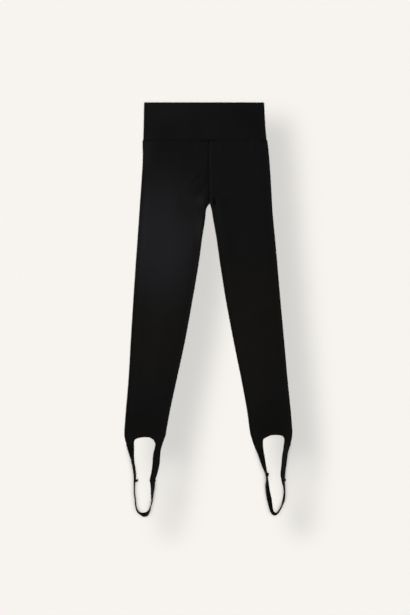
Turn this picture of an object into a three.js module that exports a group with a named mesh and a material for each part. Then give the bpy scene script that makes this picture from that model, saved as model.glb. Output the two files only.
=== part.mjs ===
// Stirrup leggings lying flat, front side up, in millimetres.
// +X is to the right as they are looked down on, +Y towards the waist, +Z up from the surface they lie on.
// The origin is on that surface, under the middle of the outline. Lengths down the garment start at the waist.
import * as THREE from "three";

// Driving dimensions
const LENGTH = 1075.2; // waist edge to the lowest point of the foot straps
const BAND_DEPTH = 98.5; // waistband, down to the waist seam
const CROTCH = 263; // down to where the legs part
const STRAP_SEAM = 981; // down to the seams between legs and foot straps
const STRAP_WIDE = 14.5; // a foot strap, folded lengthwise
const JERSEY = 1; // wall of the single cloth
const DOUBLED = 2; // wall of the doubled cloth of the waistband
const GAP = 0.3; // between two pieces, and between front and back
const LEG_FOLD = 1; // radius of the side folds, at the middle of the wall
const TAIL_FOLD = 0.8; // the same where the cloth is narrow
const BAND_FOLD = 1.4;

// Side edges of the waistband
const BAND_EDGES = [
  { down: 0, left: -166.8, right: 144.6 },
  { down: 60, left: -167.9, right: 147.8 },
  { down: BAND_DEPTH, left: -169, right: 151.2 },
];

// Above the crotch: the outer fold of each leg, and the centre seam between them
const HIPS = [
  { down: BAND_DEPTH, outerLeft: -171, centre: 0.4, outerRight: 153.5 },
  { down: 150, outerLeft: -170.6, centre: 0.4, outerRight: 158.7 },
  { down: 220, outerLeft: -174.8, centre: 0.4, outerRight: 163.2 },
  { down: CROTCH, outerLeft: -177.8, centre: 3.9, outerRight: 165.6 },
];

// Below the crotch: the outer and inner fold of each leg, down to just above the ankle arches
const LEGS = [
  { down: CROTCH, outerLeft: -177.8, innerLeft: 3.7, innerRight: 4.2, outerRight: 165.6 },
  { down: 270, outerLeft: -178.2, innerLeft: -2.5, innerRight: 6.3, outerRight: 165.9 },
  { down: 279, outerLeft: -178.8, innerLeft: -6, innerRight: 8.7, outerRight: 166.4 },
  { down: 305, outerLeft: -180.6, innerLeft: -8.8, innerRight: 12.9, outerRight: 168.6 },
  { down: 357, outerLeft: -184.2, innerLeft: -17, innerRight: 22, outerRight: 173.6 },
  { down: 409, outerLeft: -188, innerLeft: -23.7, innerRight: 29.2, outerRight: 178.3 },
  { down: 513, outerLeft: -195, innerLeft: -41.3, innerRight: 45.6, outerRight: 187.2 },
  { down: 617, outerLeft: -201.5, innerLeft: -60.2, innerRight: 65.1, outerRight: 196.7 },
  { down: 721, outerLeft: -207.6, innerLeft: -82.6, innerRight: 86.1, outerRight: 206.1 },
  { down: 800, outerLeft: -214.2, innerLeft: -99.6, innerRight: 100.5, outerRight: 214 },
  { down: 850, outerLeft: -218.1, innerLeft: -108.8, innerRight: 107.3, outerRight: 218.2 },
];

// Round each ankle arch the cloth fans out from the leg into two tails.
// A row joins a point of the tail's outer edge to one of the arch, which starts at the middle of the leg. The
// first rows lie above the arch, and there both tails are still one cloth.
const WHOLE_FAN_ROWS = 2;
const FAN_LEFT_OUTER = [
  { edge: -218.3, edgeDown: 857, arch: -164.4, archDown: 860 },
  { edge: -218.3, edgeDown: 863, arch: -164.7, archDown: 870 },
  { edge: -217.8, edgeDown: 868.5, arch: -174, archDown: 870.4 },
  { edge: -216.9, edgeDown: 874, arch: -184, archDown: 872.8 },
  { edge: -215.6, edgeDown: 880, arch: -190.6, archDown: 876 },
  { edge: -213.8, edgeDown: 886, arch: -192.9, archDown: 882 },
];
const FAN_LEFT_INNER = [
  { edge: -109.8, edgeDown: 857, arch: -164.4, archDown: 860 },
  { edge: -110.8, edgeDown: 863, arch: -164.7, archDown: 870 },
  { edge: -112.6, edgeDown: 869, arch: -154.5, archDown: 870.2 },
  { edge: -114.8, edgeDown: 875, arch: -147.2, archDown: 873.4 },
  { edge: -116.9, edgeDown: 881, arch: -141.5, archDown: 878.5 },
  { edge: -119.2, edgeDown: 888, arch: -138, archDown: 886.5 },
];
const FAN_RIGHT_INNER = [
  { edge: 108.3, edgeDown: 857, arch: 170.5, archDown: 857 },
  { edge: 109.7, edgeDown: 863, arch: 172, archDown: 864 },
  { edge: 111.6, edgeDown: 869, arch: 161, archDown: 865.2 },
  { edge: 113.4, edgeDown: 875, arch: 152, archDown: 869.6 },
  { edge: 115.2, edgeDown: 881, arch: 144.7, archDown: 873.8 },
  { edge: 117.5, edgeDown: 888, arch: 141.8, archDown: 881 },
  { edge: 120.3, edgeDown: 895, arch: 142, archDown: 890 },
];
const FAN_RIGHT_OUTER = [
  { edge: 218.3, edgeDown: 856, arch: 170.5, archDown: 857 },
  { edge: 218.2, edgeDown: 861, arch: 172, archDown: 864 },
  { edge: 217.8, edgeDown: 867, arch: 183, archDown: 864.2 },
  { edge: 217.1, edgeDown: 872, arch: 192, archDown: 866.6 },
  { edge: 216.1, edgeDown: 877.5, arch: 197, archDown: 872.5 },
  { edge: 214.6, edgeDown: 883.5, arch: 197.4, archDown: 880.5 },
];

// The tails below the fan: x of the middle as seen from above, cloth width, and how far the tail stands up
// on its edge, in degrees from lying flat
const TAIL_LEFT_OUTER = [
  { x: -202.6, down: 894, wide: 19, lean: 16 },
  { x: -201, down: 903, wide: 18, lean: 34 },
  { x: -199.4, down: 914, wide: 17, lean: 51 },
  { x: -197.3, down: 924, wide: 16.3, lean: 65 },
  { x: -195.5, down: 936, wide: 15.8, lean: 71 },
  { x: -193, down: 950, wide: 15.2, lean: 71 },
  { x: -190.9, down: 966, wide: 14.7, lean: 74 },
  { x: -190.9, down: STRAP_SEAM, wide: STRAP_WIDE, lean: 79 },
];
const TAIL_LEFT_INNER = [
  { x: -130.6, down: 897, wide: 17, lean: 0 },
  { x: -133.1, down: 907, wide: 17.4, lean: 0 },
  { x: -134.6, down: 919, wide: 18.6, lean: 0 },
  { x: -135.6, down: 935, wide: 18.6, lean: 0 },
  { x: -137.7, down: 950, wide: 17.2, lean: 2 },
  { x: -141.2, down: 966, wide: 15.8, lean: 8 },
  { x: -145.2, down: STRAP_SEAM, wide: STRAP_WIDE, lean: 20 },
];
const TAIL_RIGHT_INNER = [
  { x: 133.4, down: 903, wide: 20, lean: 18 },
  { x: 136.7, down: 914, wide: 18.8, lean: 31 },
  { x: 139.2, down: 924, wide: 17.8, lean: 38 },
  { x: 141.9, down: 935, wide: 17, lean: 46 },
  { x: 144.7, down: 945, wide: 16.2, lean: 55 },
  { x: 147.8, down: 955, wide: 15.5, lean: 66 },
  { x: 150.6, down: 966, wide: 14.8, lean: 75 },
  { x: 152.6, down: STRAP_SEAM, wide: STRAP_WIDE, lean: 75 },
];
const TAIL_RIGHT_OUTER = [
  { x: 204.1, down: 892, wide: 17, lean: 24 },
  { x: 201.6, down: 903, wide: 15.9, lean: 36 },
  { x: 199.3, down: 914, wide: 15.3, lean: 36 },
  { x: 197.5, down: 930, wide: 15, lean: 37 },
  { x: 195.2, down: 950, wide: 14.7, lean: 41 },
  { x: 193.6, down: 966, wide: 14.5, lean: 43 },
  { x: 194.4, down: STRAP_SEAM, wide: STRAP_WIDE, lean: 58 },
];

// The way of each foot strap from the one seam, round under the foot, to the other, in the same terms
const STRAP_LEFT = [
  { x: -191.5, down: 989, lean: 86 },
  { x: -191.9, down: 1000, lean: 90 },
  { x: -191.8, down: 1014, lean: 90 },
  { x: -190.2, down: 1028, lean: 90 },
  { x: -188.9, down: 1043, lean: 90 },
  { x: -186.6, down: 1054, lean: 88 },
  { x: -182.9, down: 1062.6, lean: 87 },
  { x: -177.4, down: 1066.6, lean: 84 },
  { x: -171.2, down: 1069.8, lean: 71 },
  { x: -164.7, down: 1070.6, lean: 53 },
  { x: -158, down: 1067.2, lean: 62 },
  { x: -152.6, down: 1058.8, lean: 80 },
  { x: -149.8, down: 1048.8, lean: 89 },
  { x: -147.6, down: 1041.8, lean: 87 },
  { x: -146.2, down: 1033.2, lean: 79 },
  { x: -146, down: 1022.8, lean: 71 },
  { x: -145, down: 1009.8, lean: 58 },
  { x: -144.2, down: 995, lean: 42 },
];
const STRAP_RIGHT = [
  { x: 152.3, down: 991, lean: 57 },
  { x: 153.4, down: 1004, lean: 49 },
  { x: 155.3, down: 1017.5, lean: 43 },
  { x: 157.7, down: 1029.3, lean: 37 },
  { x: 159.9, down: 1040, lean: 46 },
  { x: 161.8, down: 1050, lean: 52 },
  { x: 164, down: 1059, lean: 58 },
  { x: 168, down: 1066.3, lean: 65 },
  { x: 173.8, down: 1069, lean: 78 },
  { x: 179.3, down: 1065.9, lean: 88 },
  { x: 184.3, down: 1059.2, lean: 90 },
  { x: 189.3, down: 1050.1, lean: 90 },
  { x: 193, down: 1040.3, lean: 84 },
  { x: 195.6, down: 1031.4, lean: 77 },
  { x: 197, down: 1022, lean: 80 },
  { x: 197.6, down: 1009.8, lean: 83 },
  { x: 196.7, down: 998, lean: 78 },
  { x: 195.1, down: 988.5, lean: 69 },
];

// The largest soft folds of the front: a ridge, or a trough if rise is negative, along the line between two
// points, fading out to its sides
const SOFT_FOLDS = [
  { x: -24, down: 262, toX: -34, toDown: 372, rise: 1.6, spread: 15 },
  { x: -84, down: 282, toX: -50, toDown: 350, rise: -1, spread: 16 },
  { x: -12, down: 176, toX: -46, toDown: 226, rise: 1.3, spread: 16 },
  { x: -146, down: 232, toX: -150, toDown: 420, rise: 1.2, spread: 26 },
  { x: 28, down: 262, toX: 44, toDown: 380, rise: 1.3, spread: 15 },
  { x: 22, down: 182, toX: 52, toDown: 236, rise: 0.9, spread: 16 },
  { x: 92, down: 300, toX: 74, toDown: 372, rise: -0.8, spread: 18 },
  { x: -118, down: 560, toX: -140, toDown: 760, rise: 1, spread: 24 },
  { x: 128, down: 540, toX: 150, toDown: 770, rise: 1, spread: 24 },
];
const SWELL = 1.1; // height of the front's own softness, away from its edges

const FRONT_STEPS = [0, 0.35, 0.7]; // columns of points over half a panel, as shares of it
const BACK_STEPS = [0];
const PUFF_REACH = 8; // how far in from a fold the cloth stands rounder
const FLAT_LIP = 3; // the last stretch of a panel whose edge isn't folded
const ARC_STEPS = 3; // facets in a quarter round

const radians = THREE.MathUtils.degToRad;
const between = THREE.MathUtils.lerp;
const eased = (t) => THREE.MathUtils.smoothstep(t, 0, 1);
const toY = (down) => LENGTH / 2 - down;

// A smooth curve through one column of a table whose rows run downwards
function along(table, column, down) {
  const last = table.length - 1;
  let i = 0;
  while (i < last - 1 && table[i + 1].down < down) i += 1;
  const slope = (k) => {
    const a = table[Math.max(k - 1, 0)];
    const b = table[Math.min(k + 1, last)];
    return (b[column] - a[column]) / (b.down - a.down);
  };
  const span = table[i + 1].down - table[i].down;
  const t = (down - table[i].down) / span;
  const ease = t * t * (3 - 2 * t);
  return (
    between(table[i][column], table[i + 1][column], ease) +
    span * t * (1 - t) * ((1 - t) * slope(i) - t * slope(i + 1))
  );
}

// Height that the soft folds add to the front at a point
function relief(x, down) {
  let rise = SWELL;
  for (const fold of SOFT_FOLDS) {
    const dx = fold.toX - fold.x;
    const dy = fold.toDown - fold.down;
    const share = ((x - fold.x) * dx + (down - fold.down) * dy) / (dx * dx + dy * dy);
    const near = THREE.MathUtils.clamp(share, 0, 1);
    const away = Math.hypot(x - fold.x - near * dx, down - fold.down - near * dy);
    rise += fold.rise * Math.exp(-((away / fold.spread) ** 2));
  }
  return Math.max(rise, 0);
}

// Half of a flattened tube's section: points { across, high, turn } of the front and of the back, from the
// middle or the open edge at across = 0 out to the fold, with turn the angle of the cloth's outer side there
// from straight up. With closed true the two meet in the fold, and otherwise they end there with a gap for a
// seam. Tuck 0 leaves the edges flat, and 1 rounds them fully into the fold.
function halfSection({ width, wall, fold, closed, tuck = 1 }) {
  const low = wall / 2;
  const base = low + wall + GAP;
  const top = between(base, low + 2 * fold, tuck);
  const radius = closed ? fold : fold - GAP / 2;
  const bend = (tuck * Math.PI) / 2;
  const lip = FLAT_LIP * (1 - tuck);
  const start = width - (tuck * wall) / 2 - lip - radius * Math.sin(bend);
  const reach = Math.min(PUFF_REACH, width * 0.35);
  const front = FRONT_STEPS.map((share) => ({ across: share * (start - reach), high: base, turn: 0 }));
  front.push({ across: start - reach, high: base, turn: 0 });
  front.push({ across: start - reach / 2, high: (base + top) / 2, turn: 0 });
  front.push({ across: start, high: top, turn: 0 });
  const back = BACK_STEPS.map((share) => ({ across: share * start, high: low, turn: Math.PI }));
  back.push({ across: start, high: low, turn: Math.PI });
  for (let k = 1; k <= ARC_STEPS; k += 1) {
    const turn = (bend * k) / ARC_STEPS;
    const across = start + (lip * k) / ARC_STEPS + radius * Math.sin(turn);
    front.push({ across, high: top - radius + radius * Math.cos(turn), turn });
    back.push({ across, high: low + radius - radius * Math.cos(turn), turn: Math.PI - turn });
  }
  return { front, back };
}

// Where a section lies: its inner end and the way across it, seen from above, and how far it leans
const thickness = (wall) => 2 * wall + GAP;
function flatPlace(inner, outer) {
  const across = new THREE.Vector2().subVectors(outer, inner);
  return { start: inner, across: across.clone().normalize(), width: across.length(), lean: 0 };
}
function leaningPlace(middle, across, width, lean) {
  const angle = radians(lean);
  const seen = width * Math.cos(angle) - thickness(JERSEY) * Math.sin(angle);
  const start = middle.clone().addScaledVector(across, -seen / 2);
  return { start, across, width, lean: angle };
}

// Section points in space, each with the direction of the cloth's outer side; the front ones are lifted by the
// soft folds where soft is given
function laid(points, place, soft = null) {
  const tilted = (across, high, start) => {
    const swing = across * Math.cos(place.lean) - high * Math.sin(place.lean);
    const at = start.clone().addScaledVector(place.across, swing);
    return new THREE.Vector3(at.x, at.y, across * Math.sin(place.lean) + high * Math.cos(place.lean));
  };
  return points.map(({ across, high, turn }) => {
    const point = tilted(across, high, place.start);
    const normal = tilted(Math.sin(turn), Math.cos(turn), new THREE.Vector2());
    if (soft) point.z += soft(point, across);
    return { point, normal };
  });
}

// A middle surface that grows by rows of points, each joined to the row before it
class Cloth {
  points = [];
  cells = [];

  row(points, above = null) {
    const ids = points.map((p) => this.points.push(p) - 1);
    if (above) this.join(above, ids);
    return ids;
  }

  join(above, below) {
    for (let i = 1; i < above.length; i += 1) {
      this.cells.push([above[i - 1], above[i], below[i], below[i - 1]]);
    }
  }

  // The middle surface thickened by half the wall to each side, with a rim along every free edge
  thicken(wall) {
    const edges = new Map();
    for (const cell of this.cells) {
      cell.forEach((id, k) => {
        const next = cell[(k + 1) % 4];
        if (!edges.delete(`${next},${id}`)) edges.set(`${id},${next}`, [id, next]);
      });
    }
    const count = this.points.length;
    const faces = [];
    const quad = (a, b, c, d) => faces.push(a, b, c, a, c, d);
    for (const [a, b, c, d] of this.cells) {
      quad(a, b, c, d);
      quad(count + d, count + c, count + b, count + a);
    }
    for (const [a, b] of edges.values()) quad(b, a, count + a, count + b);
    const shifted = (side) => ({ point, normal }) => {
      const at = point.clone().addScaledVector(normal, (side * wall) / 2);
      return [at.x, at.y, Math.max(at.z, 0)];
    };
    const geometry = new THREE.BufferGeometry();
    const coordinates = [1, -1].flatMap((side) => this.points.flatMap(shifted(side)));
    geometry.setAttribute("position", new THREE.Float32BufferAttribute(coordinates, 3));
    geometry.setIndex(facingOut(coordinates, faces));
    geometry.computeVertexNormals();
    return geometry;
  }
}

// Triangles turned round where the volume they enclose comes out negative
function facingOut(coordinates, faces) {
  const point = (id) => new THREE.Vector3().fromArray(coordinates, 3 * id);
  let volume = 0;
  for (let i = 0; i < faces.length; i += 3) {
    volume += point(faces[i]).dot(point(faces[i + 1]).cross(point(faces[i + 2])));
  }
  return volume > 0 ? faces : faces.reverse();
}

// The waistband: two panels of doubled cloth, each rounded at its ends to meet the other in a side seam
const BAND_ROWS = [0, 8, 34, 66, 90, BAND_DEPTH - GAP / 2];
function waistband(side) {
  const cloth = new Cloth();
  let above = null;
  for (const down of BAND_ROWS) {
    const left = along(BAND_EDGES, "left", down);
    const right = along(BAND_EDGES, "right", down);
    const middle = new THREE.Vector2((left + right) / 2, toY(down));
    const ends = [left, right].map((x) => {
      const place = flatPlace(middle, new THREE.Vector2(x, toY(down)));
      const half = halfSection({ width: place.width, wall: DOUBLED, fold: BAND_FOLD, closed: false });
      return laid(half[side], place);
    });
    above = cloth.row([...ends[0].reverse(), ...ends[1].slice(1)], above);
  }
  return cloth.thicken(DOUBLED);
}

// One leg, cut as a single piece: its front, round the outer fold, and its back, with a gap along the inside leg
const HIP_ROWS = [BAND_DEPTH + GAP / 2, 112, 134, 160, 190, 220, 245];
const LEG_ROWS = [CROTCH, 268, 276, 290, 312, 340, 372, 409, 450, 495, 545, 600, 655, 710, 760, 805, 850];
const TUCK_FROM = 248; // where the centre seam starts to round into the inner fold
const TUCK_TO = 276;
const SEAM_LIFT = 0.9; // the front stands up to the thicker waistband at the waist seam
const LIFT_REACH = 14;
const SOFT_INSET = 26; // the soft folds die out this far from a fold

function legSections(down, columns) {
  const high = down < CROTCH;
  const outer = new THREE.Vector2(along(high ? HIPS : LEGS, columns.outer, down), toY(down));
  const seam = high ? along(HIPS, "centre", down) + columns.away * (GAP / 2) : 0;
  const inner = new THREE.Vector2(high ? seam : along(LEGS, columns.inner, down), toY(down));
  const middle = outer.clone().lerp(inner, 0.5);
  const tuck = eased((down - TUCK_FROM) / (TUCK_TO - TUCK_FROM));
  const lift = SEAM_LIFT * Math.exp(-(down - BAND_DEPTH) / LIFT_REACH);
  const softened = (place, tucked) => (at, across) => {
    const edge = eased((place.width - across) / SOFT_INSET);
    return (relief(at.x, down) + lift) * between(1, edge, tucked);
  };
  const half = (end, closed, tucked) => {
    const place = flatPlace(middle, end);
    const size = { width: place.width, wall: JERSEY, fold: LEG_FOLD, closed, tuck: tucked };
    const { front, back } = halfSection(size);
    return { front: laid(front, place, softened(place, tucked)), back: laid(back, place) };
  };
  return { outer: half(outer, true, 1), inner: half(inner, false, tuck) };
}

function tailSections(fan, tail, away, closed) {
  const sections = [];
  const add = (place, fold, shift = 0) => {
    const { front, back } = halfSection({ width: place.width, wall: JERSEY, fold, closed });
    place.start.y += shift;
    sections.push({ front: laid(front, place), back: laid(back, place) });
  };
  fan.forEach((row, i) => {
    const inner = new THREE.Vector2(row.arch, toY(row.archDown));
    const outer = new THREE.Vector2(row.edge, toY(row.edgeDown));
    add(flatPlace(inner, outer), between(LEG_FOLD, TAIL_FOLD, (i + 1) / fan.length));
  });
  tail.forEach((row, i) => {
    const place = leaningPlace(new THREE.Vector2(row.x, toY(row.down)), away, row.wide, row.lean);
    add(place, TAIL_FOLD, i === tail.length - 1 ? GAP / 2 : 0);
  });
  return sections;
}

const openEnd = (half) => [...half.front].reverse();
const wrapped = (half) => [...half.front, ...half.back.slice(0, -1).reverse()];

function leg(columns, outerTail, innerTail) {
  const cloth = new Cloth();
  let above = null;
  for (const down of [...HIP_ROWS, ...LEG_ROWS]) {
    const { outer, inner } = legSections(down, columns);
    const round = wrapped(outer).slice(1, -1);
    above = cloth.row([...openEnd(inner), ...round, ...inner.back], above);
  }
  for (let i = 0; i < WHOLE_FAN_ROWS; i += 1) {
    const round = wrapped(outerTail[i]).slice(1, -1);
    above = cloth.row([...openEnd(innerTail[i]), ...round, ...innerTail[i].back], above);
  }
  const frontMiddle = innerTail[0].front.length - 1;
  const backMiddle = frontMiddle + wrapped(outerTail[0]).length - 1;

  let upper = above.slice(frontMiddle, backMiddle + 1);
  for (const half of outerTail.slice(WHOLE_FAN_ROWS)) upper = cloth.row(wrapped(half), upper);

  let upperFront = above.slice(0, frontMiddle + 1);
  let upperBack = above.slice(backMiddle);
  for (const half of innerTail.slice(WHOLE_FAN_ROWS)) {
    upperFront = cloth.row(openEnd(half), upperFront);
    upperBack = cloth.row(half.back, upperBack);
  }
  return cloth.thicken(JERSEY);
}

// A foot strap: a strip folded lengthwise, its fold on the outside of the loop, from seam to seam
function strap(way, first, last) {
  const stations = [first, ...way, last];
  const points = stations.map((row) => new THREE.Vector2(row.x, toY(row.down)));
  const cloth = new Cloth();
  let above = null;
  stations.forEach((row, i) => {
    const end = i === 0 || i === stations.length - 1;
    const way = new THREE.Vector2().subVectors(
      points[Math.min(i + 1, points.length - 1)],
      points[Math.max(i - 1, 0)],
    );
    const across = end ? new THREE.Vector2(i ? 1 : -1, 0) : new THREE.Vector2(way.y, -way.x).normalize();
    const place = leaningPlace(points[i], across, STRAP_WIDE, row.lean);
    place.start.y -= end ? GAP / 2 : 0;
    const half = halfSection({ width: STRAP_WIDE, wall: JERSEY, fold: TAIL_FOLD, closed: true });
    const section = wrapped({ front: laid(half.front, place), back: laid(half.back, place) });
    above = cloth.row(section, above);
  });
  return cloth.thicken(JERSEY);
}

const TO_LEFT = new THREE.Vector2(-1, 0);
const TO_RIGHT = new THREE.Vector2(1, 0);

const PIECES = {
  waistband_front: () => waistband("front"),
  waistband_back: () => waistband("back"),
  leg_left: () =>
    leg(
      { outer: "outerLeft", inner: "innerLeft", away: -1 },
      tailSections(FAN_LEFT_OUTER, TAIL_LEFT_OUTER, TO_LEFT, true),
      tailSections(FAN_LEFT_INNER, TAIL_LEFT_INNER, TO_RIGHT, false),
    ),
  leg_right: () =>
    leg(
      { outer: "outerRight", inner: "innerRight", away: 1 },
      tailSections(FAN_RIGHT_OUTER, TAIL_RIGHT_OUTER, TO_RIGHT, true),
      tailSections(FAN_RIGHT_INNER, TAIL_RIGHT_INNER, TO_LEFT, false),
    ),
  stirrup_left: () => strap(STRAP_LEFT, TAIL_LEFT_OUTER.at(-1), TAIL_LEFT_INNER.at(-1)),
  stirrup_right: () => strap(STRAP_RIGHT, TAIL_RIGHT_INNER.at(-1), TAIL_RIGHT_OUTER.at(-1)),
};

const group = new THREE.Group();
for (const [name, make] of Object.entries(PIECES)) {
  const black = new THREE.MeshStandardMaterial({ color: 0x141415, roughness: 0.85, metalness: 0 });
  const mesh = new THREE.Mesh(make(), black);
  mesh.name = name;
  group.add(mesh);
}

export default group;
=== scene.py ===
import bmesh
import bpy
import numpy as np
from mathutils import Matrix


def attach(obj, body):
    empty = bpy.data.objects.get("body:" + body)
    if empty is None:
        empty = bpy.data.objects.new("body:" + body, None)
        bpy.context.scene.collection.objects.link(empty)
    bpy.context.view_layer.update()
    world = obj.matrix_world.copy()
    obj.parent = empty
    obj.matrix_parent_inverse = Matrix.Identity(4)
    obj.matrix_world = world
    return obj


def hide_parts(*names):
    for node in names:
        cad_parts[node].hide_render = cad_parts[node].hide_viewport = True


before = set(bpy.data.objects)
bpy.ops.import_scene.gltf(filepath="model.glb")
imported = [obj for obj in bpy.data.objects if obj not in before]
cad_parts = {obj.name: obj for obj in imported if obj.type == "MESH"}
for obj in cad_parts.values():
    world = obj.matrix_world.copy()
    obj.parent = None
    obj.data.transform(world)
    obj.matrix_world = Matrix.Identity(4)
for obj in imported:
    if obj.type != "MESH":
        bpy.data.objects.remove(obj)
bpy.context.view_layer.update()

# Stirrup leggings lie front side up on a pale floor, and are looked down on. Sizes are millimetres: X runs to
# the right, Y to the waist and Z up. "Down" is the distance from the waist edge towards the feet.
MM = 0.001


# The camera looks straight down on the garment, as the photograph was taken.
# Its frame takes in 1.6 m of floor from top to bottom.
CAMERA_OVER = (-8.7, 4.9)
CAMERA_HEIGHT = 3200
FRAME_LENGTH = 1599
SENSOR = 36


def add_object(name, data):
    """A new object of the scene, at the origin."""
    made = bpy.data.objects.new(name, data)
    bpy.context.collection.objects.link(made)
    return made


camera_data = bpy.data.cameras.new("camera")
camera_data.sensor_width = SENSOR
camera_data.lens = SENSOR * CAMERA_HEIGHT / FRAME_LENGTH
camera = add_object("camera", camera_data)
camera.location = (CAMERA_OVER[0] * MM, CAMERA_OVER[1] * MM, CAMERA_HEIGHT * MM)
bpy.context.scene.camera = camera


# The light is a bright white room, and one wide low lamp at the upper left, which draws out the folds and is
# kept off the floor. The room is brightest straight up, so that the cloth throws hardly a shadow beside it.
# Where the room is seen past the floor's edge it has the floor's own colour, so that the two run together.
ROOM = (1.0, 0.997, 0.991)
ROOM_FALL = 7  # power of the height above the horizon with which the room's light falls off
BACKDROP = (0.93, 0.905, 0.863)
LAMP_STRENGTH = 3.9
LAMP_HEIGHT = 11  # degrees above the floor
LAMP_FROM = 152  # degrees round from +X
LAMP_SPREAD = 15  # degrees across


def feed(fed, inputs):
    """Gives sockets of a node their values, or links them to the outputs of other nodes."""
    for socket, value in inputs:
        if isinstance(value, bpy.types.NodeSocket):
            fed.id_data.links.new(value, fed.inputs[socket])
        else:
            fed.inputs[socket].default_value = value


def node(tree, kind, inputs=(), **settings):
    """A new shader node with the given settings and inputs."""
    made = tree.nodes.new("ShaderNode" + kind)
    for name, value in settings.items():
        setattr(made, name, value)
    feed(made, inputs)
    return made


def calc(tree, operation, a, b=0.0, clamp=False):
    """One sum on numbers or outputs, as an output."""
    return node(tree, "Math", [(0, a), (1, b)], operation=operation, use_clamp=clamp).outputs[0]


def blend(tree, share, first, second):
    """The first colour where the share is 0 and the second where it is 1, as an output. Both are colours or
    outputs."""
    ends = [end if isinstance(end, bpy.types.NodeSocket) else (*end, 1) for end in (first, second)]
    return node(tree, "Mix", [(0, share), (6, ends[0]), (7, ends[1])], data_type="RGBA").outputs[2]


world = bpy.data.worlds.new("room")
world.use_nodes = True
sky = world.node_tree
direction = node(sky, "TexCoord").outputs["Generated"]
up = node(sky, "SeparateXYZ", [(0, direction)]).outputs[2]
fallen = calc(sky, "POWER", calc(sky, "ABSOLUTE", up), ROOM_FALL)
lit = calc(sky, "MULTIPLY", fallen, 1 + ROOM_FALL / 2)  # a level floor gets as much as from an even room
seen = node(sky, "LightPath").outputs["Is Camera Ray"]
strength = node(sky, "Mix", [(0, seen), (2, lit), (3, 1.0)]).outputs[0]
feed(sky.nodes["Background"], [("Color", blend(sky, seen, ROOM, BACKDROP)), ("Strength", strength)])
bpy.context.scene.world = world
bpy.context.scene.view_settings.view_transform = "Standard"

lamp_data = bpy.data.lights.new("lamp", "SUN")
lamp_data.energy = LAMP_STRENGTH
lamp_data.angle = np.radians(LAMP_SPREAD)
lamp = add_object("lamp", lamp_data)
lamp.rotation_euler = (0, np.radians(90 - LAMP_HEIGHT), np.radians(LAMP_FROM))


# Jersey is a dense black knit with elastane, about 1 mm thick.
# A shader group holds its stitches, so that every piece cut from it has the same knit.
JERSEY = 1.0
BLACK = (0.003, 0.003, 0.0031)
WALE = 0.9  # width of a stitch of the knit
COURSE = 0.75  # height of a stitch of the knit
LOOP_SLANT = 0.5  # how far a stitch's sides stand above its middle, as a share of its height
ROUND_SHARE = 0.62  # how much of the relief is the columns of stitches; the rest is the single loops
# Painted shade darkens the hollows of the knit.
HOLLOW_SHADE_SHARE, HOLLOW_SHADE_TONE = 0.5, 0.45  # how much of a hollow is dark, and its tone against the yarn's
PATCHES, LUMPS = (11.0, 3.0), (150.0, 2.0)  # scale and detail of the noise in the nap and in the surface
LUMP_HEIGHT = 1.4  # of the lumps, against the knit's
RELIEF, RELIEF_DEPTH = 0.55, 0.12  # strength and depth of the relief
DULLER = 0.1  # difference in roughness between patches


def new_material(name):
    """An empty node material with its output and Principled BSDF."""
    material = bpy.data.materials.new(name)
    material.use_nodes = True
    tree = material.node_tree
    return material, tree, tree.nodes["Principled BSDF"]


knit = bpy.data.node_groups.new("knit", "ShaderNodeTree")
for way, kind, labels in (
    ("INPUT", "NodeSocketVector", ("Cloth",)),
    ("INPUT", "NodeSocketFloat", ("Wale", "Course")),
    ("OUTPUT", "NodeSocketFloat", ("Height", "Hollow")),
):
    for label in labels:
        knit.interface.new_socket(label, in_out=way, socket_type=kind)


def from_half(share):
    """How far a share lies from 0.5, as an output: 0 at 0.5, and 1 at 0 and at 1."""
    return calc(knit, "MULTIPLY", calc(knit, "ABSOLUTE", calc(knit, "SUBTRACT", share, 0.5)), 2.0)


# The relief rises as 1 - x² from the sides of a column of stitches to its middle, and evenly from the middle
# of each loop to its ends. The hollow, which sets the painted shade of the knit, is 1 - √(1 - x²).
given = knit.nodes.new("NodeGroupInput").outputs
split = node(knit, "SeparateXYZ", [(0, given["Cloth"])]).outputs
from_middle = from_half(calc(knit, "FRACT", calc(knit, "DIVIDE", split[0], given["Wale"])))
slant = calc(knit, "MULTIPLY", from_middle, LOOP_SLANT)
courses = calc(knit, "ADD", calc(knit, "DIVIDE", split[1], given["Course"]), slant)
from_loop = from_half(calc(knit, "FRACT", courses))
rounded = calc(knit, "SUBTRACT", 1.0, calc(knit, "MULTIPLY", from_middle, from_middle))
single = calc(knit, "MULTIPLY", from_loop, 1 - ROUND_SHARE)
height = calc(knit, "ADD", calc(knit, "MULTIPLY", rounded, ROUND_SHARE), single)
hollow = calc(knit, "SUBTRACT", 1.0, calc(knit, "POWER", rounded, 0.5), clamp=True)
feed(knit.nodes.new("NodeGroupOutput"), [("Height", height), ("Hollow", hollow)])


def noise(tree, place, scale, detail):
    """Soft noise over a place, as an output."""
    inputs = [("Vector", place), ("Scale", scale), ("Detail", detail)]
    return node(tree, "TexNoise", inputs).outputs[0]


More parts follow.
